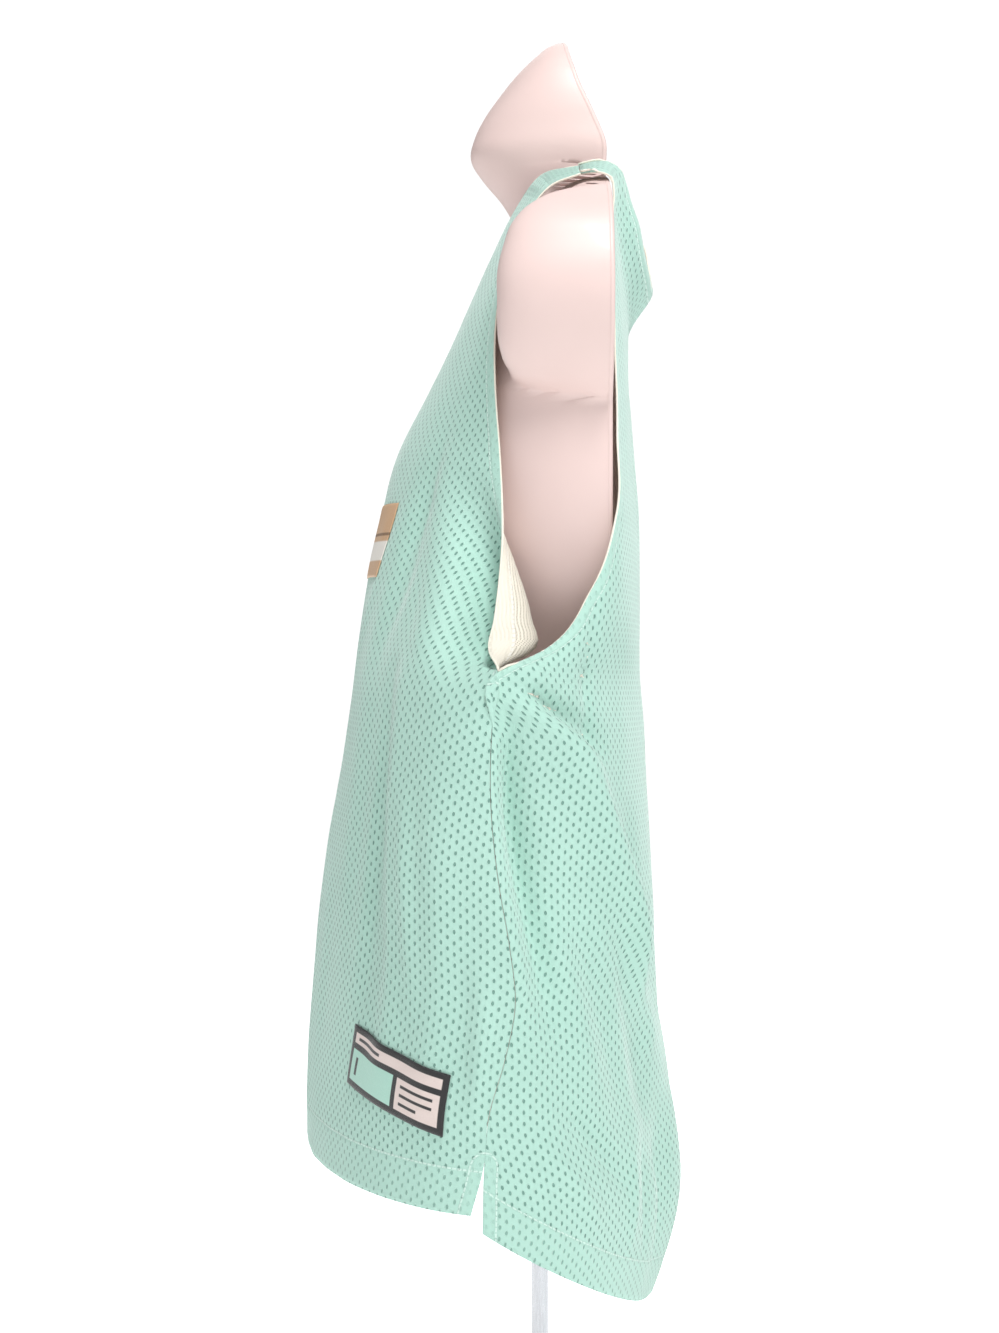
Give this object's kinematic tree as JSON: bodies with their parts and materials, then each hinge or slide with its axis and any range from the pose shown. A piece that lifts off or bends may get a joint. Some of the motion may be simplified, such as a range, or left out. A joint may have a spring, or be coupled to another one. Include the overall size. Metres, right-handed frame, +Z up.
{
  "type": "basketball jersey on torso form",
  "caption": "Sleeveless mesh basketball jersey, lined, with a drop tail and side vents, on a limbless hollow-backed torso form held by a pole and a round base.",
  "frame": {"origin": "middle of the base plate's underside, on the floor, under the pole's axis", "axes": "+Z up along the pole; -Y the way the chest faces; +X the wearer's left"},
  "size_m": [0.504, 0.307, 1.01],
  "materials": {
    "mint_mesh": "open knitted mesh, matte",
    "ivory_mesh": "fine knitted mesh, matte",
    "print_film": "printed film on mesh, satin",
    "label_weave": "woven satin label",
    "form_plastic": "smooth, matte",
    "stand_steel": "brushed",
    "base_enamel": "powder-coated, satin"
  },
  "bodies": {
    "root": {"front_panel": "mint_mesh", "back_panel": "mint_mesh", "front_lining": "ivory_mesh", "back_lining": "ivory_mesh", "chest_print": "print_film", "hem_label": "label_weave", "torso_form": "form_plastic", "hip_plate": "form_plastic", "hip_collar": "stand_steel", "pole": "stand_steel", "foot_collar": "stand_steel", "base_plate": "base_enamel"}
  },
  "joints": []
}
